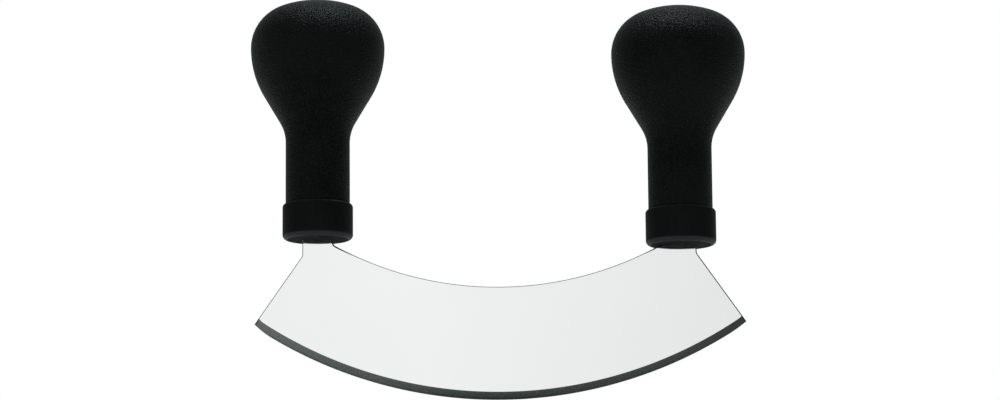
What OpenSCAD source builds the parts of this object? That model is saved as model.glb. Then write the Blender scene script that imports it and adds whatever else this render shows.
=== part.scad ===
// Two-handled curved mincing knife, upright, cutting edge down.
// X runs along the blade, Y through its thickness, Z up. Millimetres.
// The origin is the lowest point of the cutting edge.

/* [Blade] */
// Straight distance between the two blade tips
tip_span = 200; // [180:1:230]
// Radius of the curved cutting edge
edge_radius = 178; // [165:0.5:195]
// Radius of the concave spine
spine_radius = 137; // [128:0.5:150]
// Depth of the blade from spine to edge at mid-length
blade_depth = 46; // [42:0.5:48]
// Thickness of the ground blade faces
blade_thickness = 1.8; // [1.2:0.1:1.9]
// Width of the ground bevel that follows the edge
bevel_width = 3.2; // [1.5:0.1:5]
// Flat left at the very edge of the bevel
edge_land = 0.2; // [0.1:0.05:0.5]
// Length of each straight blade end, from tip to shoulder
end_length = 34.8; // [30:0.1:38]
// Angle of the blade ends from vertical
end_angle = 34.9; // [30:0.1:40]
// Length of edge at each end that is ground up towards the tip
sweep_length = 8; // [5:0.5:12]
// How far the left tip is ground up
left_tip_lift = 0.9; // [0.3:0.05:1.5]
// How far the right tip is ground up
right_tip_lift = 0.4; // [0.3:0.05:1.5]

/* [Tangs] */
// Width of a bare neck between blade and handle
neck_width = 12.4; // [9:0.1:13.4]
// Rounding in the corner between neck and spine
inner_corner = 2; // [1:0.1:3]
// Rounding in the corner between neck and blade end
outer_corner = 2.5; // [1:0.1:4]
// Thickness of the stock, left full on the tangs
stock_thickness = 2; // [1.9:0.1:3]
// How far the left tang reaches into its handle above the collar base
tang_reach = 62; // [56:1:68]
// Width of a tang at its top
tang_tip_width = 8; // [6:0.1:9]
// Rounding on the top corners of a tang
tang_corner = 2; // [0.5:0.1:2.9]
// Diameter of the lock holes in the tangs
lock_hole_d = 4; // [2.5:0.1:5]
// Distance of the upper lock hole below the tang top
lock_hole_drop = 16; // [8:1:20]
// Distance between the two lock holes
lock_hole_pitch = 20; // [14:1:22]

/* [Handle shape] */
// Height of a handle from collar base to crown
handle_height = 99; // [97:0.5:104]
// Largest diameter of the bulb
bulb_d = 54.8; // [50:0.2:58]
// Height of the crown above the widest part of the bulb
crown_height = 19.5; // [18:0.5:24]
// Radius of the bulb's upper shoulder as a share of the crown height
shoulder_share = 0.908; // [0.7:0.001:0.95]
// Radius of the bulb's belly below its widest part
belly_radius = 39.2; // [34:0.1:44]
// Angle of the straight flank from vertical
flank_angle = 30.7; // [28:0.1:34]
// Diameter of the straight neck
grip_neck_d = 26.2; // [24:0.1:27]
// Radius that blends the flank into the neck
neck_blend = 17; // [12:0.5:22]
// Thickness of the outer grip over its core
grip_skin = 4.5; // [3.5:0.1:4.8]

/* [Handle seats] */
// How far the left collar stands above the corner between neck and spine
left_stand = 2.1; // [1.5:0.1:6]
// How much lower the right handle sits than the left one
right_drop = 3.5; // [0:0.1:4]

/* [Collar] */
// How far the collar stands out from the neck of the grip
collar_step = 1.25; // [0.8:0.05:3]
// Height of the collar
collar_height = 14.8; // [12:0.1:18]
// Rounding on the collar's top edge
collar_top_round = 1.6; // [0.6:0.1:2]
// Rounding on the collar's bottom edge
collar_base_round = 2; // [0.6:0.1:3]
// Thickness of the collar floor that the tang passes through
collar_floor = 3; // [2.5:0.1:5]
// Wall of the collar around the foot of the grip
collar_wall = 2.8; // [2:0.1:3.5]
// How far the oval recess under the collar reaches in front of and behind the blade
mouth_reach = 3.3; // [2:0.1:5]
// How much longer that recess is than the slot, at each end
mouth_margin = 0.6; // [0.3:0.1:1.5]
// Depth of that recess
mouth_depth = 0.6; // [0.3:0.1:1.5]
// Depth of the fine seam between grip and collar
seam_depth = 0.3; // [0.1:0.05:0.6]
// Height of that seam
seam_height = 0.6; // [0.3:0.1:1]

/* [Core] */
// Number of ring grooves that lock the grip to its core
lock_rings = 3; // [2:1:4]
// Depth of a ring groove
ring_depth = 0.9; // [0.5:0.1:1]
// Height of a ring groove
ring_height = 2.4; // [1.5:0.1:3]
// Distance from one ring groove to the next
ring_pitch = 5.5; // [4.5:0.1:6]
// Height of the lowest ring groove above the collar
ring_stand = 5.2; // [3:0.1:6]

/* [Fits] */
// Clearance around the tang in collar and core
tang_gap = 0.05; // [0.02:0.01:0.1]
// Clearance between nested handle pieces
nest_gap = 0.05; // [0.02:0.01:0.1]
// How far below each collar the ground blade face stops
grind_margin = 0.3; // [0.2:0.05:0.6]
// How deep the moulded lock bars run into the core on each side
bar_bite = 0.5; // [0.2:0.1:1]

/* [Hidden] */
$fn = 180;
edge_fn = 540;
arc_step = 2;
small_step = 6;
corner_cross = 0.03;
below_edge = -10;

steel_colour = [0.78, 0.79, 0.8];
grip_colour = [0.1, 0.1, 0.11];
collar_colour = [0.14, 0.14, 0.15];
core_colour = [0.3, 0.3, 0.31];

// Keeps a derived position on a round number
function hundredths(size) = round(100 * size) / 100;

tip_height = edge_radius - sqrt(pow(edge_radius, 2) - pow(tip_span / 2, 2));
end_run = end_length * sin(end_angle);
end_rise = end_length * cos(end_angle);
shoulder_height = tip_height + end_rise;
bevel_radius = edge_radius - bevel_width;

neck_outer = hundredths(tip_span / 2 - end_run);
neck_inner = neck_outer - neck_width;
handle_x = neck_outer - neck_width / 2;
spine_centre = blade_depth + spine_radius;
corner_height = spine_centre - sqrt(pow(spine_radius, 2) - pow(neck_inner, 2));

left_seat = hundredths(corner_height + left_stand);
right_seat = left_seat - right_drop;
tang_top = left_seat + tang_reach;
tang_foot = left_seat + collar_floor;
tang_slot = stock_thickness + 2 * tang_gap;
lock_hole_low = tang_top - lock_hole_drop - lock_hole_pitch;

bulb_r = bulb_d / 2;
neck_r = grip_neck_d / 2;
bulb_height = handle_height - crown_height;
shoulder_radius = shoulder_share * crown_height;
shoulder_x = bulb_r - shoulder_radius;
dome_radius = (pow(shoulder_x, 2) + pow(crown_height, 2) - pow(shoulder_radius, 2))
    / (2 * (crown_height - shoulder_radius));
dome_z = handle_height - dome_radius;
dome_angle = atan2(bulb_height - dome_z, shoulder_x);
belly_x = bulb_r - belly_radius;
blend_x = neck_r + neck_blend;
blend_z = bulb_height
    + ((blend_x - belly_x) * cos(flank_angle) - belly_radius - neck_blend) / sin(flank_angle);

collar_r = neck_r + collar_step;
collar_bore_r = collar_r - collar_wall;
core_base = collar_floor + nest_gap;
ring_start = collar_height + ring_stand;

// A point at a given distance and angle from a centre
function polar(centre, radius, angle) = centre + radius * [cos(angle), sin(angle)];

// Points along an arc, about step degrees apart, both ends included
function arc(centre, radius, from, to, step = arc_step) =
    let (steps = max(1, ceil(abs(to - from) / step)))
    [for (i = [0 : steps]) polar(centre, radius, from + (to - from) * i / steps)];

function mirrored(points) = [for (i = [len(points) - 1 : -1 : 0]) [-points[i][0], points[i][1]]];

// Right side of the blank, from below the edge up to top, every side moved outward by grow
function blank_side(top, grow) =
    let (
        end_shift = grow * [cos(end_angle), sin(end_angle)],
        past_tip = [tip_span / 2, tip_height] + end_shift + 0.4 * [end_run, -end_rise],
        corner_z = shoulder_height + outer_corner * tan(end_angle / 2)
    )
    concat(
        [[past_tip[0], below_edge], past_tip],
        arc(
            [neck_outer + outer_corner, corner_z],
            outer_corner - grow,
            180 + end_angle,
            180,
            small_step
        ),
        [[neck_outer + grow, top]]
    );

// What is drawn on the right, mirrored to the left
module on_left() {
    mirror([1, 0, 0]) children();
}

// Stands a drawing up on the XZ plane, centred through its thickness
module upright(thickness) {
    rotate([90, 0, 0])
        linear_extrude(thickness, center = true)
            children();
}

// What a rounding takes off a square outer corner
module round_off(radius) {
    difference() {
        square(2 * radius, center = true);
        translate([-radius, -radius]) circle(radius);
    }
}

// Material that rounds the corner between neck and spine; its circle just crosses both sides
module neck_fillet(grow) {
    x = neck_inner - inner_corner;
    z = spine_centre - sqrt(pow(spine_radius - inner_corner, 2) - pow(x, 2));
    reach = 1.2 * inner_corner;
    away = [x, z - spine_centre] / (spine_radius - inner_corner);
    difference() {
        polygon([
            [x + reach, z],
            [x, z],
            [x, z] + reach * away,
            [x + reach, z - reach]
        ]);
        translate([x, z]) circle(inner_corner + corner_cross - grow);
    }
}

// Outline of the blade and its necks, up to a given height
module blade_outline(top, grow) {
    side = blank_side(top, grow);
    difference() {
        intersection() {
            polygon(concat(side, mirrored(side)));
            translate([0, edge_radius]) circle(edge_radius + grow, $fn = edge_fn);
        }
        intersection() {
            translate([0, spine_centre]) circle(spine_radius - grow, $fn = edge_fn);
            translate([grow - neck_inner, 0])
                square([2 * (neck_inner - grow), tang_top]);
        }
    }
    neck_fillet(grow);
    mirror([1, 0]) neck_fillet(grow);
}

// The right half of a band between two heights
module right_band(low, high) {
    translate([0, low]) square([tip_span, high - low]);
}

// Outline of the right neck from a given height, with the tapering tang above it
module tang_outline(low, grow) {
    foot = neck_width / 2 + grow;
    tip = tang_tip_width / 2 + grow;
    top = tang_top + grow;
    radius = tang_corner + grow;
    intersection() {
        blade_outline(tang_foot, grow);
        right_band(low, tang_foot);
    }
    translate([handle_x, 0])
        difference() {
            polygon([
                [-foot, tang_foot - 1],
                [foot, tang_foot - 1],
                [foot, tang_foot],
                [tip, top - radius],
                [tip, top],
                [-tip, top],
                [-tip, top - radius],
                [-foot, tang_foot]
            ]);
            translate([tip, top]) round_off(radius);
            translate([-tip, top]) mirror([1, 0]) round_off(radius);
        }
}

// Cylinders across the right tang where its lock holes are
module lock_bars(d, length) {
    for (i = [0, 1]) {
        translate([handle_x, 0, lock_hole_low + i * lock_hole_pitch])
            rotate([90, 0, 0])
                cylinder(d = d, h = length, center = true);
    }
}

// Disc with the ground bevel turned on its rim
module ground_disc() {
    face = blade_thickness / 2;
    land = edge_land / 2;
    translate([0, 0, edge_radius])
        rotate([90, 0, 0])
            rotate_extrude($fn = edge_fn)
                polygon([
                    [0, -face],
                    [bevel_radius, -face],
                    [edge_radius, -land],
                    [edge_radius, land],
                    [bevel_radius, face],
                    [0, face]
                ]);
}

// What is ground off under the right tip; its circle crosses the edge where the sweep starts
module tip_sweep(lift) {
    half_turn = asin(sweep_length / (2 * edge_radius));
    tip_angle = atan2(tip_height - edge_radius, tip_span / 2);
    start = polar([0, edge_radius], edge_radius, tip_angle - 2 * half_turn);
    finish = [tip_span / 2, tip_height] + lift * [-sin(end_angle), cos(end_angle)];
    chord = norm(finish - start);
    along = (finish - start) / chord;
    inside = [-along[1], along[0]];
    bend = half_turn + 2 / 3 * atan(lift / sweep_length);
    margin = sweep_length / 5;
    difference() {
        polygon([
            start - margin * along + margin * inside,
            start - margin * along - 2 * margin * inside,
            finish + margin * along - 2 * margin * inside,
            finish + margin * along + margin * inside
        ]);
        translate(start + chord / 2 * (along + inside / tan(bend)))
            circle(chord / 2 / sin(bend), $fn = edge_fn);
    }
}

// Full-thickness neck and tang above the grind line, right side
module tang(seat) {
    difference() {
        upright(stock_thickness) tang_outline(seat - grind_margin, 0);
        lock_bars(lock_hole_d, 2 * stock_thickness);
    }
}

module blade() {
    color(steel_colour) {
        union() {
            intersection() {
                ground_disc();
                upright(stock_thickness)
                    difference() {
                        blade_outline(tang_foot, 0);
                        right_band(right_seat - grind_margin, tang_top);
                        mirror([1, 0]) right_band(left_seat - grind_margin, tang_top);
                        tip_sweep(right_tip_lift);
                        mirror([1, 0]) tip_sweep(left_tip_lift);
                    }
            }
            on_left() tang(left_seat);
            tang(right_seat);
        }
    }
}

// Right half of the handle section, every surface moved inward by inset
module handle_section(base, inset) {
    polygon(concat(
        [[0, base], [neck_r - inset, base]],
        arc([blend_x, blend_z], neck_blend + inset, 180, 180 - flank_angle),
        arc([belly_x, bulb_height], belly_radius - inset, -flank_angle, 0),
        arc([shoulder_x, bulb_height], shoulder_radius - inset, arc_step, dome_angle - arc_step),
        arc([0, dome_z], dome_radius - inset, dome_angle, 90)
    ));
}

// Section of the ring grooves; shrink gives the ribs that fill them their clearance
module ring_grooves(shrink) {
    for (i = [0 : lock_rings - 1]) {
        translate([
            neck_r - grip_skin - ring_depth + shrink,
            ring_start + i * ring_pitch + shrink
        ])
            square([grip_skin, ring_height - 2 * shrink]);
    }
}

// Moulded round the tang: plastic fills the lock holes, grooves hold the grip
module core(seat) {
    color(core_colour) {
        union() {
            difference() {
                translate([handle_x, 0, seat])
                    rotate_extrude()
                        difference() {
                            handle_section(core_base, grip_skin);
                            ring_grooves(0);
                        }
                upright(tang_slot) tang_outline(seat, tang_gap);
            }
            lock_bars(lock_hole_d - 2 * tang_gap, tang_slot + 2 * bar_bite);
        }
    }
}

// Section of the grip without its hollow: bulb, neck, and the spigot inside the collar
module grip_section() {
    ledge = collar_height + nest_gap;
    difference() {
        handle_section(core_base, 0);
        translate([collar_bore_r - nest_gap, 0])
            square([neck_r, ledge]);
        translate([neck_r - seam_depth, 0])
            square([neck_r, ledge + seam_height]);
    }
}

// Outer skin moulded over the core, from crown to collar floor
module grip(seat) {
    color(grip_colour)
        translate([handle_x, 0, seat])
            difference() {
                rotate_extrude() grip_section();
                rotate_extrude()
                    difference() {
                        handle_section(0, grip_skin - nest_gap);
                        ring_grooves(nest_gap);
                    }
            }
}

// Lens-shaped recess in the underside of the collar, round its slot
module mouth(seat) {
    half = neck_width / 2 + mouth_margin;
    radius = (pow(half, 2) + pow(mouth_reach, 2)) / (2 * mouth_reach);
    translate([handle_x, 0, seat - 1])
        linear_extrude(mouth_depth + 1)
            intersection() {
                translate([0, mouth_reach - radius]) circle(radius);
                translate([0, radius - mouth_reach]) circle(radius);
            }
}

// Cup with a floor and a bore for the foot of the grip
module collar(seat) {
    color(collar_colour)
        difference() {
            translate([handle_x, 0, seat])
                rotate_extrude()
                    difference() {
                        square([collar_r, collar_height]);
                        translate([0, collar_floor]) square([collar_bore_r, collar_height]);
                        translate([collar_r, collar_height]) round_off(collar_top_round);
                        translate([collar_r, 0]) mirror([0, 1]) round_off(collar_base_round);
                    }
            upright(tang_slot) tang_outline(seat - 1, tang_gap);
            mouth(seat);
        }
}

blade();
on_left() core(left_seat);  // left_core
on_left() grip(left_seat);  // left_grip
on_left() collar(left_seat);  // left_collar
core(right_seat);  // right_core
grip(right_seat);  // right_grip
collar(right_seat);  // right_collar
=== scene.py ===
import math

import bmesh
import bpy
from mathutils import Matrix, Vector


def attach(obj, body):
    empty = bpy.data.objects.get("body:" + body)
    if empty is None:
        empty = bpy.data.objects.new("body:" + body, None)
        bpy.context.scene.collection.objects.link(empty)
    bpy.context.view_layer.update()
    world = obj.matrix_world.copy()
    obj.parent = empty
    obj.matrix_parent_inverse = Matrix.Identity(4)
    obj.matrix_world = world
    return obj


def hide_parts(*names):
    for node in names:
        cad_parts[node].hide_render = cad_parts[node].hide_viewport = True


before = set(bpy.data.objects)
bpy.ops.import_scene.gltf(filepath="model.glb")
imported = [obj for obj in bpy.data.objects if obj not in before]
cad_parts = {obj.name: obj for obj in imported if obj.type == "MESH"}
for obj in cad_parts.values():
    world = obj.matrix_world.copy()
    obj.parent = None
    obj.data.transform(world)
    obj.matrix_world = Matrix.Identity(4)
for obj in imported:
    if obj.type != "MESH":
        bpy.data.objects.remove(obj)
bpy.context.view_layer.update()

MM = 0.001


# Camera, in metres and degrees

TARGET = Vector((0, 0, 0.070))  # what it aims at
DISTANCE = 1.3628  # from there
FRAME_WIDTH = 0.407  # what the picture's width covers at that distance
ELEVATION, ROLL = -9.125, 0.49  # the minus means that it looks up
SHIFT_X, SHIFT_Y = 0.0007, 0.028638  # of the picture, as shares of its width
SENSOR = 36.0  # width in millimetres


def make_camera():
    """The photograph looks up at the knife by 9 degrees, from 1.36 m."""
    elevation, roll = math.radians(ELEVATION), math.radians(ROLL)
    back = Vector((0, -math.cos(elevation), math.sin(elevation)))
    flat_x = Vector((1, 0, 0))
    flat_y = back.cross(flat_x)
    side = math.cos(roll) * flat_x - math.sin(roll) * flat_y
    up = back.cross(side)
    data = bpy.data.cameras.new("camera")
    data.sensor_width = SENSOR
    data.lens = SENSOR * DISTANCE / FRAME_WIDTH
    data.clip_start = 0.05
    data.clip_end = 60
    data.shift_x = SHIFT_X
    data.shift_y = SHIFT_Y
    camera = bpy.data.objects.new("camera", data)
    turn = Matrix((side, up, back)).transposed()
    camera.matrix_world = Matrix.Translation(TARGET + DISTANCE * back) @ turn.to_4x4()
    bpy.context.scene.collection.objects.link(camera)
    bpy.context.scene.camera = camera


make_camera()


# Sizes of the blade, in millimetres and degrees

SPAN = 200.0  # between the tips
EDGE_R = 178.0  # radius of the cutting edge
SPINE_R = 137.0  # radius of the hollow spine
DEPTH = 46.0  # from edge to spine at mid-length
FACE = 0.9  # half the thickness between the ground faces
STOCK = 1.0  # half the thickness of the tangs
BEVEL = 3.2  # width of the bevel
BEVEL_DRIFT = 0.15  # how much wider the bevel is at the left tip, and narrower at the right
LAND = 0.1  # half the thickness of the edge itself
SWEEP = 8.0  # length over which the tips are ground up
TIP_LIFT = {-1: 0.9, 1: 0.4}  # how far they are, on the left and the right
CREASE_SWEEP = 3.0  # length over which the bevel's crease turns up at the tips
CREASE_LIFT = {-1: 0.5, 1: 0.15}  # how far it does
END_ANGLE = 34.9  # of the straight ends, from upright
END_LENGTH = 34.8  # of the straight ends
NECK = 12.4  # width of a neck
INNER_ROUND = 2.0  # radius between spine and neck
OUTER_ROUND = 2.5  # radius between end and neck
TANG_RISE = 62.0  # top of both tangs above the left seat
TANG_FOOT = 3.0  # height above the left seat from which they narrow
TANG_TIP = 8.0  # width of a tang at its top
TANG_ROUND = 2.0  # radius of its corners there
GRIND_GAP = 0.3  # from a seat down to the line where the grinding ends
GRIND_STEP = 0.03  # half the height of the step there
EASE = 0.30  # width of the rounding on spine, ends and necks
EASE_END = 0.15  # how much wider it is on the right end
EASE_NECK = 0.35  # how much wider it is at the necks
EASE_AT = 66.0  # distance of the widest place from the middle
EASE_FADE = 8.0  # length over which that fades
TIP_EASE = 1.4  # how far the crease stands in from the end at a tip, in widths of the rounding

# Sizes of a handle, with heights from its foot

SEAT_RISE = 2.1  # left foot above the corner of spine and neck
RIGHT_DROP = 3.5  # how much lower the right handle sits
HANDLE = 99.0  # height
BULB_R = 27.4  # radius of the bulb
CROWN = 19.5  # from the bulb's widest place to the top
SHOULDER = 0.908  # radius of the shoulder as a share of the crown
BELLY = 39.2  # radius of the curve under the bulb
FLANK = 30.7  # slope of the flank, from upright
BLEND = 17.0  # radius between flank and neck
NECK_R = 13.1  # radius of the neck
COLLAR = 14.8  # height of the collar
COLLAR_R = 14.35  # radius of the collar
SPIGOT_R = 11.5  # radius of the spigot inside the collar
SPIGOT_FOOT = 3.1  # height of its lower end
SPIGOT_CHAMFER = 0.3  # at that end
CORE_R = 8.5  # radius of the opening in the spigot for the core
REST_GAP = 0.05  # between the collar's top and the grip
SEAM = 0.15  # depth of the seam above the collar
SEAM_RISE = 0.25  # its height
SEAM_ROUND = 0.12  # radius of its upper lip

EDGE_STEPS, SPINE_STEPS = 160, 60  # steps along the edge, and along half the spine
RIM_STEPS = (0.0, 0.3, 0.7, 1.0)  # shares of the bevel or rounding that have a row of points
AROUND = 144  # points round a grip
TOUCH = 1e-6  # places closer than this are the same

tip_z = EDGE_R - math.sqrt(EDGE_R ** 2 - (SPAN / 2) ** 2)
end_run = END_LENGTH * math.sin(math.radians(END_ANGLE))
end_rise = END_LENGTH * math.cos(math.radians(END_ANGLE))
neck_outer = round(SPAN / 2 - end_run, 2)
neck_inner = neck_outer - NECK
handle_x = neck_outer - NECK / 2
spine_z = DEPTH + SPINE_R
corner_z = spine_z - math.sqrt(SPINE_R ** 2 - neck_inner ** 2)
left_seat = round(corner_z + SEAT_RISE, 2)
seats = {-1: left_seat, 1: left_seat - RIGHT_DROP}
grind_z = {side: seats[side] - GRIND_GAP for side in (1, -1)}
tang_top = left_seat + TANG_RISE
tang_foot = left_seat + TANG_FOOT


# Node trees

NOISE_RANGE = (0.3, 0.7)  # what most values of a noise lie between


class Graph:
    """The node tree of a material or of the world, with short calls for the nodes used here."""

    def __init__(self, owner, output):
        owner.use_nodes = True
        self.owner = owner
        self.tree = owner.node_tree
        self.tree.nodes.clear()
        self.output = self.node(output)

    def node(self, kind, inputs=(), **settings):
        """A node with its settings; inputs gives a value or a socket for each name or number."""
        made = self.tree.nodes.new(kind)
        for key, value in settings.items():
            setattr(made, key, value)
        for key, value in dict(inputs).items():
            if isinstance(value, bpy.types.NodeSocket):
                self.tree.links.new(value, made.inputs[key])
            else:
                made.inputs[key].default_value = value
        return made

    def finish(self, surface):
        self.tree.links.new(surface, self.output.inputs["Surface"])

    def part(self, vector, axis):
        return self.node("ShaderNodeSeparateXYZ", {0: vector}).outputs[axis]

    def maths(self, operation, *values):
        return self.node("ShaderNodeMath", dict(enumerate(values)), operation=operation).outputs[0]

    def vector_maths(self, operation, output, *values):
        made = self.node("ShaderNodeVectorMath", dict(enumerate(values)), operation=operation)
        return made.outputs[output]

    def noise(self, where, scale, detail):
        """Noise; scale is one number, or three that stretch it along the axes."""
        if isinstance(scale, tuple):
            where = self.node("ShaderNodeMapping", {"Vector": where, "Scale": scale}).outputs["Vector"]
            scale = 1.0
        inputs = {"Vector": where, "Scale": scale, "Detail": detail}
        return self.node("ShaderNodeTexNoise", inputs).outputs["Fac"]

    def cells(self, where, scale):
        """Soft rounded cells."""
        inputs = {"Vector": where, "Scale": scale, "Smoothness": 0.6}
        return self.node("ShaderNodeTexVoronoi", inputs, feature="SMOOTH_F1").outputs["Distance"]

    def spread(self, source, old, new):
        """Moves a value from an old range to a new one and keeps it within that."""
        inputs = {"Value": source, "From Min": old[0], "From Max": old[1], "To Min": new[0], "To Max": new[1]}
        return self.node("ShaderNodeMapRange", inputs).outputs["Result"]

    def ramp(self, source, stops, interpolation="LINEAR"):
        """Colours along a value from 0 to 1; stops are (place, grey or colour)."""
        made = self.node("ShaderNodeValToRGB", {"Fac": source})
        made.color_ramp.interpolation = interpolation
        while len(made.color_ramp.elements) < len(stops):
            made.color_ramp.elements.new(0.5)
        for element, (place, colour) in zip(made.color_ramp.elements, stops):
            element.position = place
            if isinstance(colour, (int, float)):
                colour = (colour,) * 3
            element.color = (*colour, 1)
        return made.outputs["Color"]

    def between(self, noise, low, high):
        """Greys or colours over the range of a noise."""
        return self.ramp(noise, list(zip(NOISE_RANGE, (low, high))))

    def mix(self, share, first, second, blend_type="MIX"):
        inputs = {"Factor": share, "A": first, "B": second}
        return self.node("ShaderNodeMix", inputs, data_type="RGBA", blend_type=blend_type).outputs["Result"]

    def mix_shaders(self, share, first, second):
        return self.node("ShaderNodeMixShader", {0: share, 1: first, 2: second}).outputs[0]

    def bump(self, height, strength, distance, before=None):
        """Relief, on top of that of the normal before it."""
        inputs = {"Height": height, "Strength": strength, "Distance": distance}
        if before is not None:
            inputs["Normal"] = before
        return self.node("ShaderNodeBump", inputs).outputs["Normal"]

    def rays(self, first, *others):
        """1 for rays of these kinds, else 0."""
        path = self.node("ShaderNodeLightPath")
        found = path.outputs[first]
        for kind in others:
            found = self.maths("MAXIMUM", found, path.outputs[kind])
        return found


def new_material(name):
    """The graph of a new material, and the place on the piece in metres."""
    graph = Graph(bpy.data.materials.new(name), "ShaderNodeOutputMaterial")
    return graph, graph.node("ShaderNodeTexCoord").outputs["Object"]


def tinted(level, tint):
    return tuple(level * channel for channel in tint)


# Black plastic

TEAL = (0.86, 1.0, 0.98)  # tint of the plastic, and of what it reflects from sides and back
RIM_HIGHLIGHT_COLOUR = (0.033, 0.037, 0.037, 1)  # pale colour painted as a highlight along a collar's roundings


def moulded_black(name, shades, roughness, level, grain, depth, painted_highlight_and_roughness=None):
    """Black plastic from a textured mould, mottled between two shades. Its pebbles are about grain
    millimetres wide and depth millimetres high, and level is the strength of its reflections. The optional
    function changes colour and roughness; the collars use it for a painted highlight and duller places."""
    graph, where = new_material(name)
    pebbles = graph.cells(where, 1000 / grain)
    fine = graph.noise(where, 2600 / grain, detail=1.0)
    drift = graph.noise(where, 45.0, detail=3.0)
    mottle = graph.maths("MULTIPLY_ADD", pebbles, 0.9, drift)
    dark, pale = (tinted(shade, TEAL) for shade in shades)
    colour = graph.ramp(mottle, [(0.45, dark), (1.0, pale)])
    rough = graph.spread(fine, NOISE_RANGE, (roughness - 0.06, roughness + 0.06))
    if painted_highlight_and_roughness:
        colour, rough = painted_highlight_and_roughness(graph, where, fine, colour, rough)
    normal = graph.bump(pebbles, 1.0, depth * MM)
    normal = graph.bump(fine, 0.5, 0.4 * depth * MM, normal)
    inputs = {"Base Color": colour, "Roughness": rough, "Normal": normal}
    inputs.update({"Specular IOR Level": level, "Specular Tint": (*TEAL, 1)})
    graph.finish(graph.node("ShaderNodeBsdfPrincipled", inputs).outputs["BSDF"])
    return graph.owner


def collar_black(name, side):
    """Satin black, with a painted highlight, pale and patchy, along the roundings at the collar's foot and
    top, and dull round the slot. Marks gives heights above the foot and how strong the painted highlight is
    there, and rim the distances from the axis between which its underside turns into the rounding."""
    satin, dull = 0.50, 0.95
    foot = seats[side]
    rim = ((COLLAR_R - 2.1) * MM, (COLLAR_R - 1.7) * MM)
    # painted highlight: heights of the pale band painted along the foot's and top's roundings
    marks = [(-0.2, 0.4), (0.2, 0.7), (1.3, 0.65), (2.0, 0.02)]
    marks += [(COLLAR - 1.0, 0.0), (COLLAR - 0.4, 0.35), (COLLAR + 0.1, 0.6)]
    low, high = marks[0][0], marks[-1][0]

    def painted_highlight_and_roughness(graph, where, fine, colour, rough):
        height = graph.part(where, "Z")
        along = graph.spread(height, ((foot + low) * MM, (foot + high) * MM), (0, 1))
        painted_highlight_share = graph.ramp(along, [((z - low) / (high - low), share) for z, share in marks])
        flat = graph.vector_maths("MULTIPLY", "Vector", where, (1, 1, 0))
        reach = graph.vector_maths("DISTANCE", "Value", flat, (side * handle_x * MM, 0, 0))
        painted_highlight_share = graph.maths("MULTIPLY", painted_highlight_share, graph.spread(reach, rim, (0.45, 1)))
        painted_highlight_share = graph.maths("MULTIPLY", painted_highlight_share, graph.spread(fine, (0.25, 0.75), (0.5, 1.5)))
        under = graph.spread(height, (foot * MM, (foot + 0.8) * MM), (dull, satin))
        inside = graph.spread(reach, rim, (dull, 0.3))
        rough = graph.maths("MAXIMUM", rough, graph.maths("MINIMUM", under, inside))
        # painted highlight: the pale colour is mixed in along the roundings
        return graph.mix(painted_highlight_share, colour, RIM_HIGHLIGHT_COLOUR), rough

    return moulded_black(name, (0.0025, 0.0044), satin, level=0.047, grain=0.60, depth=0.05, painted_highlight_and_roughness=painted_highlight_and_roughness)


# Steel

STEEL_TINT = (0.981, 1.0, 0.989)  # of the polished faces


def painted_light_along_blade(graph, where, stops):
    """Painted light and shade along the blade, as tones; a place is 0 at the left tip and 1 at the right one.
    """
    reach = SPAN / 2 * MM
    return graph.ramp(graph.spread(graph.part(where, "X"), (-reach, reach), (0, 1)), stops)


def finish_steel(graph, colour, marks, roughness, strength, height):
    """Ends a steel, whose marks vary its roughness between two values and stand out by height millimetres."""
    rough = graph.spread(marks, NOISE_RANGE, roughness)
    normal = graph.bump(marks, strength, height * MM)
    inputs = {"Base Color": colour, "Metallic": 1.0, "Roughness": rough, "Normal": normal}
    graph.finish(graph.node("ShaderNodeBsdfPrincipled", inputs).outputs["BSDF"])
    return graph.owner


def polished_steel():
    """The flat faces: a fine polish along the blade, clouded a little by handling."""
    graph, where = new_material("blade_polish")
    lines = graph.noise(where, (60.0, 4000.0, 4000.0), detail=3.0)
    cloud = graph.noise(where, (9.0, 9.0, 14.0), detail=2.0)
    # painted reflection: the polish is lighter at the left tip and darker to the right
    painted_reflection_levels = ((0.0, 0.875), (0.35, 0.883), (0.7, 0.837), (1.0, 0.79))
    painted_light_tone = painted_light_along_blade(graph, where, [(place, tinted(level, STEEL_TINT)) for place, level in painted_reflection_levels])
    colour = graph.mix(1.0, painted_light_tone, graph.between(cloud, 0.985, 1.01), "MULTIPLY")
    return finish_steel(graph, colour, lines, (0.04, 0.07), strength=0.25, height=0.002)


def ground_steel():
    """The bevel: wheel marks run across it, from the edge to the face."""
    graph, where = new_material("blade_bevel")
    marks = graph.noise(where, (5200.0, 300.0, 260.0), detail=3.0)
    # painted reflection: the bevel is far darker than steel, lightest at the left tip and darkest at the
    # right
    painted_light_tone = painted_light_along_blade(graph, where, [(0.06, 0.148), (0.40, 0.084), (0.80, 0.082), (0.96, 0.051)])
    shade = graph.between(marks, (0.80, 0.90, 0.86), (1.02, 1.15, 1.10))
    colour = graph.mix(1.0, painted_light_tone, shade, "MULTIPLY")
    return finish_steel(graph, colour, marks, (0.24, 0.40), strength=0.4, height=0.01)


def eased_steel():
    """The tumbled rounding on spine, ends and necks, with painted shade: near black, far darker than the
    polish, and darkest beside the collars and on the right end."""
    graph, where = new_material("blade_eased_edge")
    marks = graph.noise(where, 2400.0, detail=2.0)
    # painted shade: darker beside the left collar, and from the right collar to the right end
    stops = [(0.12, 1.0), (0.15, 0.2), (0.19, 0.2), (0.23, 1.0), (0.77, 1.0), (0.81, 0.25)]
    painted_light_tone = painted_light_along_blade(graph, where, stops)
    # painted shade: near-black steel for the rounding
    shade = graph.between(marks, (0.04, 0.042, 0.043), (0.10, 0.103, 0.105))
    colour = graph.mix(1.0, painted_light_tone, shade, "MULTIPLY")
    return finish_steel(graph, colour, marks, (0.30, 0.45), strength=0.3, height=0.01)


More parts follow.
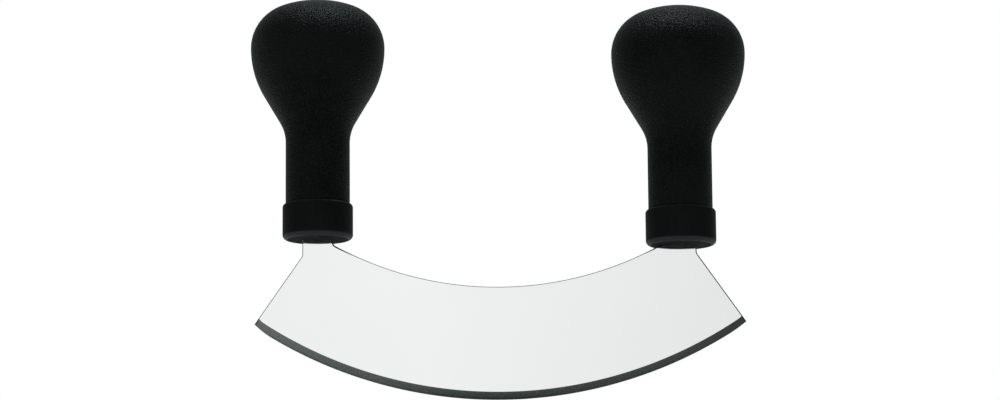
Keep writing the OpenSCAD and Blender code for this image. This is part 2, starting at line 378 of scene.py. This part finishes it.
def shaded_tang_steel():
    """The tangs above the ground faces, in painted shade: near-black steel that shows as a dark strip just
    under each collar.
    """
    graph, where = new_material("blade_tang_painted_shade")
    scale = graph.noise(where, 900.0, detail=3.0)
    # painted shade: near-black steel, with noise for its texture
    colour = graph.between(scale, (0.030, 0.031, 0.032), (0.060, 0.062, 0.063))
    return finish_steel(graph, colour, scale, (0.50, 0.65), strength=0.2, height=0.01)


# Shapes

def polar(centre, radius, angle):
    turn = math.radians(angle)
    return (centre[0] + radius * math.cos(turn), centre[1] + radius * math.sin(turn))


def arc(centre, radius, start, end, count):
    """Points along an arc with count steps, both its ends among them."""
    return [polar(centre, radius, start + (end - start) * i / count) for i in range(count + 1)]


def add_face(mesh, corners, slot=0, smooth=True):
    face = mesh.faces.new(corners)
    face.material_index = slot
    face.smooth = smooth


def add_piece(name, mesh, materials, node, sharp=None):
    """Makes a mesh a piece of the knife that stands for a node, sharp past an angle if one is given."""
    data = bpy.data.meshes.new(name)
    mesh.to_mesh(data)
    mesh.free()
    for material in materials:
        data.materials.append(material)
    if sharp:
        data.set_sharp_from_angle(angle=math.radians(sharp))
    piece = bpy.data.objects.new(name, data)
    bpy.context.scene.collection.objects.link(piece)
    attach(piece, "root")
    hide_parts(node)


# Blade

# slots of the blade's materials; the tangs' slot holds their painted shade
POLISHED, GROUND, EASED, SHADED_TANG = range(4)


def blade_half():
    """Right half of the outline above the bevel: end, neck, tang, neck, spine up to the middle."""
    out_x = neck_outer + OUTER_ROUND
    out_z = tip_z + end_rise + OUTER_ROUND * math.tan(math.radians(END_ANGLE / 2))
    in_x = neck_inner - INNER_ROUND
    in_z = spine_z - math.sqrt((SPINE_R - INNER_ROUND) ** 2 - in_x ** 2)
    meet = math.degrees(math.atan2(in_z - spine_z, in_x))
    round_x, round_z = TANG_TIP / 2 - TANG_ROUND, tang_top - TANG_ROUND
    points = arc((out_x, out_z), OUTER_ROUND, 180 + END_ANGLE, 180, 8)
    points += [(neck_outer, tang_foot)]
    points += arc((handle_x + round_x, round_z), TANG_ROUND, 0, 90, 6)
    points += arc((handle_x - round_x, round_z), TANG_ROUND, 90, 180, 6)
    points += [(neck_inner, tang_foot)]
    points += arc((in_x, in_z), INNER_ROUND, 0, meet, 8)
    points += arc((0, spine_z), SPINE_R, meet, -90, SPINE_STEPS)[1:]
    return points


def side_of(x):
    return 1 if x > 0 else -1


def ground_radii(x):
    """Radii of edge and crease at a place along the edge, measured from the edge's centre."""
    side = side_of(x)
    from_tip = EDGE_R * (math.asin(SPAN / 2 / EDGE_R) - math.asin(abs(x) / EDGE_R))
    near = max(0.0, 1 - from_tip / SWEEP)
    nearer = max(0.0, 1 - from_tip / CREASE_SWEEP)
    edge = EDGE_R - TIP_LIFT[side] * (near + 2 * near * near) / 3
    crease = EDGE_R - BEVEL + BEVEL_DRIFT * x / (SPAN / 2) - CREASE_LIFT[side] * nearer * nearer
    return edge, crease


def on_end_line(radius):
    """Where the straight right end crosses a circle about the centre of the edge, found by halving."""
    low, high = 0.0, 1.0
    for _ in range(60):
        share = (low + high) / 2
        x, z = SPAN / 2 - share * end_run, tip_z + share * end_rise
        if math.hypot(x, z - EDGE_R) > radius:
            low = share
        else:
            high = share
    return (x, z)


def split_at(points, height, side):
    """Adds the points where the outline crosses a height, on one side of the blade."""
    result = []
    for i, a in enumerate(points):
        b = points[(i + 1) % len(points)]
        result.append(a)
        if a[0] * side > 0 and b[0] * side > 0 and (a[1] - height) * (b[1] - height) < 0:
            share = (height - a[1]) / (b[1] - a[1])
            result.append((a[0] + share * (b[0] - a[0]), height))
    return result


def blade_outline():
    """The whole outline from the left tip along the edge and back over the spine."""
    tip_angle = math.degrees(math.atan2(tip_z - EDGE_R, SPAN / 2))
    edge = arc((0, EDGE_R), EDGE_R, -180 - tip_angle, tip_angle, EDGE_STEPS)
    creases = {side: on_end_line(ground_radii(side * SPAN / 2)[1]) for side in (1, -1)}
    half = blade_half()
    other_half = [(-x, z) for x, z in reversed(half[:-1])]
    outline = edge + [creases[1]] + half + other_half + [(-creases[-1][0], creases[-1][1])]
    for side in (1, -1):
        for step in (-GRIND_STEP, GRIND_STEP):
            outline = split_at(outline, grind_z[side] + step, side)
    return outline


def easing(x):
    """Width of the rounding at a place along the blade."""
    near = 1 - abs(abs(x) - EASE_AT) / EASE_FADE
    return EASE + max(EASE_NECK * near, EASE_END if x > EASE_AT else 0.0)


def inward(points, i, amount):
    """A point of an outline moved into it, so that both lines that meet there move by amount."""
    before, here, after = (Vector(points[j % len(points)]) for j in (i - 1, i, i + 1))
    normals = []
    for a, b in ((before, here), (here, after)):
        run = (b - a).normalized()
        normals.append(Vector((-run.y, run.x)))
    middle = (normals[0] + normals[1]).normalized()
    return here + middle * (amount / max(0.5, middle.dot(normals[0])))


def on_edge(x, z):
    return abs(math.hypot(x, z - EDGE_R) - EDGE_R) < TOUCH


def bevel_point(x, z, share):
    """Place and half thickness at a share of the bevel's width, from the edge to the crease."""
    outer, inner = ground_radii(x)
    radius = outer + share * (inner - outer)
    if abs(abs(x) - SPAN / 2) < TOUCH:
        end_x, end_z = on_end_line(radius)
        turn = math.atan2(end_x, EDGE_R - end_z) - share * TIP_EASE * easing(x) / radius
        place = (math.copysign(radius * math.sin(turn), x), EDGE_R - radius * math.cos(turn))
    else:
        scale = radius / EDGE_R
        place = (x * scale, EDGE_R + (z - EDGE_R) * scale)
    land = LAND + (FACE - LAND) * (EDGE_R - outer) / BEVEL
    return (*place, land + share * (FACE - land))


def eased_point(outline, i, share):
    """Place and half thickness at a share of the rounding, from the outline to the face."""
    x, z = outline[i]
    thick = STOCK if z > grind_z[side_of(x)] else FACE
    turn = share * math.pi / 2
    place = inward(outline, i, easing(x) * (1 - math.cos(turn)))
    return (*place, thick - easing(x) * (1 - math.sin(turn)))


def blade_rows(mesh, outline, face):
    """Rows of points on one side of the blade, from the rim's middle to the flat."""
    rows = [[] for _ in RIM_STEPS]
    for i, corner in enumerate(outline):
        for row, share in zip(rows, RIM_STEPS):
            if on_edge(*corner):
                x, z, y = bevel_point(*corner, share)
            else:
                x, z, y = eased_point(outline, i, share)
            row.append(mesh.verts.new((x * MM, face * y * MM, z * MM)))
    return rows


def flat_parts(outline):
    """The flat parts of a side, as corners of the outline: ground face, both tangs, and the steps to them."""
    corners = range(len(outline))
    tangs = []
    for side in (1, -1):
        tangs.append([i for i in corners if outline[i][0] * side > 0 and outline[i][1] > grind_z[side]])
    parts = [(POLISHED, [i for i in corners if i not in tangs[0] + tangs[1]])]
    parts += [(SHADED_TANG, tang) for tang in tangs]
    for tang in tangs:
        after, before = (tang[-1] + 1) % len(outline), (tang[0] - 1) % len(outline)
        parts.append((SHADED_TANG, [tang[0], tang[-1], after, before]))
    return parts


def make_blade():
    outline = blade_outline()
    mesh = bmesh.new()
    front, back = (blade_rows(mesh, outline, face) for face in (-1, 1))
    for i, corner in enumerate(outline):
        j = (i + 1) % len(outline)
        slot = GROUND if on_edge(*corner) and on_edge(*outline[j]) else EASED
        for low, high in zip(front, front[1:]):
            add_face(mesh, (low[i], low[j], high[j], high[i]), slot)
        for low, high in zip(back, back[1:]):
            add_face(mesh, (high[i], high[j], low[j], low[i]), slot)
        add_face(mesh, (back[0][i], back[0][j], front[0][j], front[0][i]), slot)
    for slot, part in flat_parts(outline):
        add_face(mesh, [front[-1][i] for i in part], slot, smooth=False)
    for slot, part in flat_parts(outline):
        add_face(mesh, [back[-1][i] for i in reversed(part)], slot, smooth=False)
    bmesh.ops.recalc_face_normals(mesh, faces=mesh.faces)
    materials = [polished_steel(), ground_steel(), eased_steel(), shaded_tang_steel()]
    add_piece("blade_body", mesh, materials, "blade")


make_blade()


# Handles

def grip_profile():
    """Outer profile of a grip, from its spigot up to the middle of the crown."""
    bulb_z = HANDLE - CROWN
    shoulder = SHOULDER * CROWN
    shoulder_x = BULB_R - shoulder
    dome = (shoulder_x ** 2 + CROWN ** 2 - shoulder ** 2) / (2 * (CROWN - shoulder))
    dome_z = HANDLE - dome
    dome_angle = math.degrees(math.atan2(bulb_z - dome_z, shoulder_x))
    belly_x = BULB_R - BELLY
    blend_x = NECK_R + BLEND
    slope = math.radians(FLANK)
    blend_z = bulb_z + ((blend_x - belly_x) * math.cos(slope) - BELLY - BLEND) / math.sin(slope)
    ledge = COLLAR + REST_GAP
    seam_top = ledge + SEAM_RISE
    lip = seam_top + SEAM_ROUND
    points = [(CORE_R, SPIGOT_FOOT), (SPIGOT_R - SPIGOT_CHAMFER, SPIGOT_FOOT)]
    points += [(SPIGOT_R, SPIGOT_FOOT + SPIGOT_CHAMFER), (SPIGOT_R, ledge)]
    points += [(NECK_R - SEAM, ledge), (NECK_R - SEAM, seam_top - SEAM_ROUND)]
    points += arc((NECK_R - SEAM_ROUND, lip), SEAM_ROUND, -90, 0, 4)
    points += [(NECK_R, lip + (blend_z - seam_top) * k / 6) for k in range(1, 6)]
    points += arc((blend_x, blend_z), BLEND, 180, 180 - FLANK, 10)
    flank = (points[-1], polar((belly_x, bulb_z), BELLY, -FLANK))
    points += [tuple(a + (b - a) * k / 5 for a, b in zip(*flank)) for k in range(1, 5)]
    points += arc((belly_x, bulb_z), BELLY, -FLANK, 0, 14)
    points += arc((shoulder_x, bulb_z), shoulder, 0, dome_angle, 22)[1:]
    points += arc((0, dome_z), dome, dome_angle, 90, 10)[1:]
    return points


def make_grip(name, side, material):
    """One grip, its profile turned about the handle's axis."""
    *profile, (_, top) = grip_profile()
    mesh = bmesh.new()
    rows = []
    for radius, height in profile:
        row = []
        for k in range(AROUND):
            turn = 2 * math.pi * k / AROUND
            x, y = side * handle_x + radius * math.cos(turn), radius * math.sin(turn)
            row.append(mesh.verts.new((x * MM, y * MM, (seats[side] + height) * MM)))
        rows.append(row)
    crown = mesh.verts.new((side * handle_x * MM, 0, (seats[side] + top) * MM))
    for low, high in zip(rows, rows[1:]):
        for k in range(AROUND):
            j = (k + 1) % AROUND
            add_face(mesh, (low[k], low[j], high[j], high[k]))
    for k in range(AROUND):
        add_face(mesh, (rows[-1][k], rows[-1][(k + 1) % AROUND], crown))
    add_piece(name + "_grip_skin", mesh, [material], name + "_grip", sharp=40)


def repaint(node, material):
    """Gives a node of the frame its material."""
    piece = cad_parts[node]
    for place in piece.material_slots:
        place.material = material


def make_handles():
    grip_black = moulded_black("grip_pebbled", (0.0008, 0.0064), 0.38, level=0.034, grain=0.58, depth=0.40)
    core_black = moulded_black("core_unfinished", (0.060, 0.080), 0.55, level=0.3, grain=0.60, depth=0.02)
    for name, side in (("left", -1), ("right", 1)):
        make_grip(name, side, grip_black)
        repaint(name + "_collar", collar_black("collar_satin_" + name, side))
        repaint(name + "_core", core_black)


make_handles()


# Studio

AMBIENT = 0.46  # light from all round
SIDE_GLOW, BACK_GLOW = 0.25, 0.40  # what the knife reflects from the sides and from behind
FLOOR_HALF, FLOOR_Z = 4.0, -0.0002  # half the floor's width, and its height, in metres
FLOOR_FADE = (0.3, 1.1)  # distances between which it turns white


def add_floor():
    """Pale floor just under the edge. The photograph looks up from below it, so only its top side shows."""
    graph, where = new_material("floor_pale")
    speck = graph.noise(where, 30.0, detail=2.0)
    pale = graph.node("ShaderNodeBsdfDiffuse", {"Color": graph.between(speck, 0.79, 0.81)}).outputs[0]
    far = graph.spread(graph.vector_maths("LENGTH", "Value", where), FLOOR_FADE, (0, 1))
    seen = graph.rays("Is Camera Ray", "Is Glossy Ray", "Is Transmission Ray")
    white = graph.node("ShaderNodeEmission").outputs[0]
    top = graph.mix_shaders(graph.maths("MULTIPLY", far, seen), pale, white)
    below = graph.node("ShaderNodeNewGeometry").outputs["Backfacing"]
    clear = graph.node("ShaderNodeBsdfTransparent").outputs[0]
    graph.finish(graph.mix_shaders(below, top, clear))
    corners = [(-1, -1), (1, -1), (1, 1), (-1, 1)]
    data = bpy.data.meshes.new("floor")
    data.from_pydata([(x * FLOOR_HALF, y * FLOOR_HALF, FLOOR_Z) for x, y in corners], [], [(0, 1, 2, 3)])
    data.materials.append(graph.owner)
    floor = bpy.data.objects.new("floor", data)
    bpy.context.scene.collection.objects.link(floor)


def add_world():
    """White behind the knife, a plain grey ambient, and for reflections a white front with darker,
    slightly teal sides and back, which give the black handles their pale rims."""
    graph = Graph(bpy.data.worlds.new("studio"), "ShaderNodeOutputWorld")
    plain = graph.spread(graph.rays("Is Camera Ray", "Is Transmission Ray"), (0, 1), (AMBIENT, 1))
    direction = graph.node("ShaderNodeTexCoord").outputs["Generated"]
    backward = graph.spread(graph.part(direction, "Y"), (-1, 1), (0, 1))
    sides, behind = tinted(SIDE_GLOW, TEAL), tinted(BACK_GLOW, TEAL)
    stops = [(0.01, 1.0), (0.17, sides), (0.775, sides), (0.86, behind)]
    mirrored = graph.ramp(backward, stops, "EASE")
    colour = graph.mix(graph.rays("Is Glossy Ray"), plain, mirrored)
    graph.finish(graph.node("ShaderNodeBackground", {"Color": colour}).outputs[0])
    bpy.context.scene.world = graph.owner


def add_lamp(name, place, aim, size, power, colour=(1, 1, 1)):
    data = bpy.data.lights.new(name, "AREA")
    data.shape = "RECTANGLE"
    data.size, data.size_y = size
    data.energy = power
    data.color = colour
    lamp = bpy.data.objects.new(name, data)
    lamp.location = place
    lamp.rotation_euler = (Vector(aim) - Vector(place)).to_track_quat("-Z", "Y").to_euler()
    bpy.context.scene.collection.objects.link(lamp)


add_floor()
add_world()
add_lamp("key", place=(-1.0, -0.9, 1.3), aim=(0, 0, 0.08), size=(0.9, 0.9), power=5)
add_lamp("top", place=(0.1, 0.25, 1.2), aim=(0, 0, 0.1), size=(0.7, 0.5), power=11, colour=(0.92, 1, 1))

scene = bpy.context.scene
scene.view_settings.view_transform = "Standard"
